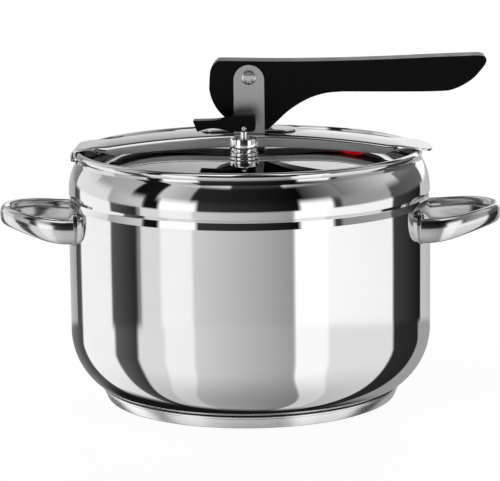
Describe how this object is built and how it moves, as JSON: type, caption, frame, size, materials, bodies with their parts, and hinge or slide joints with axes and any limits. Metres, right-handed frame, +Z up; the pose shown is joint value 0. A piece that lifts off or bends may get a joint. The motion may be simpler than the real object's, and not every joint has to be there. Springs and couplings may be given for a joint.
{
  "type": "pressure cooker",
  "caption": "Stainless steel pressure cooker with an inside-fitting lid, a sprung bridge over the rim, a cam locking lever, a valve with a vent lever and loop handles.",
  "frame": {"origin": "centre of the base, on the surface that the pot stands on", "axes": "+Z up along the pot's axis, +X towards the free end of the locking lever when it is locked, -Y towards the side that the valve is on"},
  "size_m": [0.3278, 0.2364, 0.2238],
  "materials": {
    "polished_steel": "mirror-polished stainless steel",
    "satin_steel": "satin stainless steel",
    "aluminium_core": "plain rolled aluminium, covered",
    "chrome_plate": "bright chrome plate on turned brass",
    "black_phenolic": "black moulded phenolic, satin",
    "grey_silicone": "grey silicone, matt",
    "red_silicone": "red silicone, matt"
  },
  "bodies": {
    "pot": {"pot_body": "polished_steel", "base_cap": "satin_steel", "base_core": "aluminium_core", "handle_left": "polished_steel", "handle_right": "polished_steel", "handle_pad_left_front": "satin_steel", "handle_pad_left_back": "satin_steel", "handle_pad_right_front": "satin_steel", "handle_pad_right_back": "satin_steel"},
    "bridge": {"bridge_bar": "polished_steel", "cam_plate": "satin_steel"},
    "lid": {"lid_plate": "polished_steel", "lid_gasket": "grey_silicone", "safety_plug": "red_silicone", "lever_bracket": "satin_steel", "bracket_backing_plate": "satin_steel", "bracket_rivet_1": "satin_steel", "bracket_rivet_2": "satin_steel", "bracket_rivet_3": "satin_steel", "bracket_rivet_4": "satin_steel", "pivot_pin": "satin_steel", "valve_body": "chrome_plate", "valve_cap": "chrome_plate", "valve_seal": "grey_silicone", "valve_nut": "satin_steel", "valve_spring": "satin_steel"},
    "locking_lever": {"lever": "black_phenolic", "lever_bush": "satin_steel"},
    "valve_plunger": {"valve_stem": "chrome_plate", "valve_disc": "grey_silicone", "vent_lever_pin": "chrome_plate"},
    "vent": {"vent_lever": "black_phenolic"}
  },
  "joints": [
    {"name": "lid_turn", "type": "hinge", "parent": "pot", "child": "bridge", "pos_m": [0, 0, 0.16], "axis": [0, 0, 1], "continuous": true},
    {"name": "lid_drop", "type": "slide", "parent": "bridge", "child": "lid", "axis": [0, 0, -1], "range_m": [0, 0.0075]},
    {"name": "lever_open", "type": "hinge", "parent": "lid", "child": "locking_lever", "pos_m": [0.0011, 0, 0.211], "axis": [0, -1, 0], "range_deg": [0, 85]},
    {"name": "valve_lift", "type": "slide", "parent": "lid", "child": "valve_plunger", "axis": [0, 0, 1], "range_m": [0, 0.0012], "deforming": ["valve_spring"]},
    {"name": "vent_flip", "type": "hinge", "parent": "valve_plunger", "child": "vent", "pos_m": [-0.0015, -0.034, 0.1813], "axis": [0, 1, 0], "range_deg": [0, 90]}
  ],
  "couplings": [
    {"joint": "lid_drop", "follows": "lever_open", "m_per_rad": 0.005},
    {"joint": "vent_flip", "follows": "valve_lift", "rad_per_m": 1308.9}
  ]
}
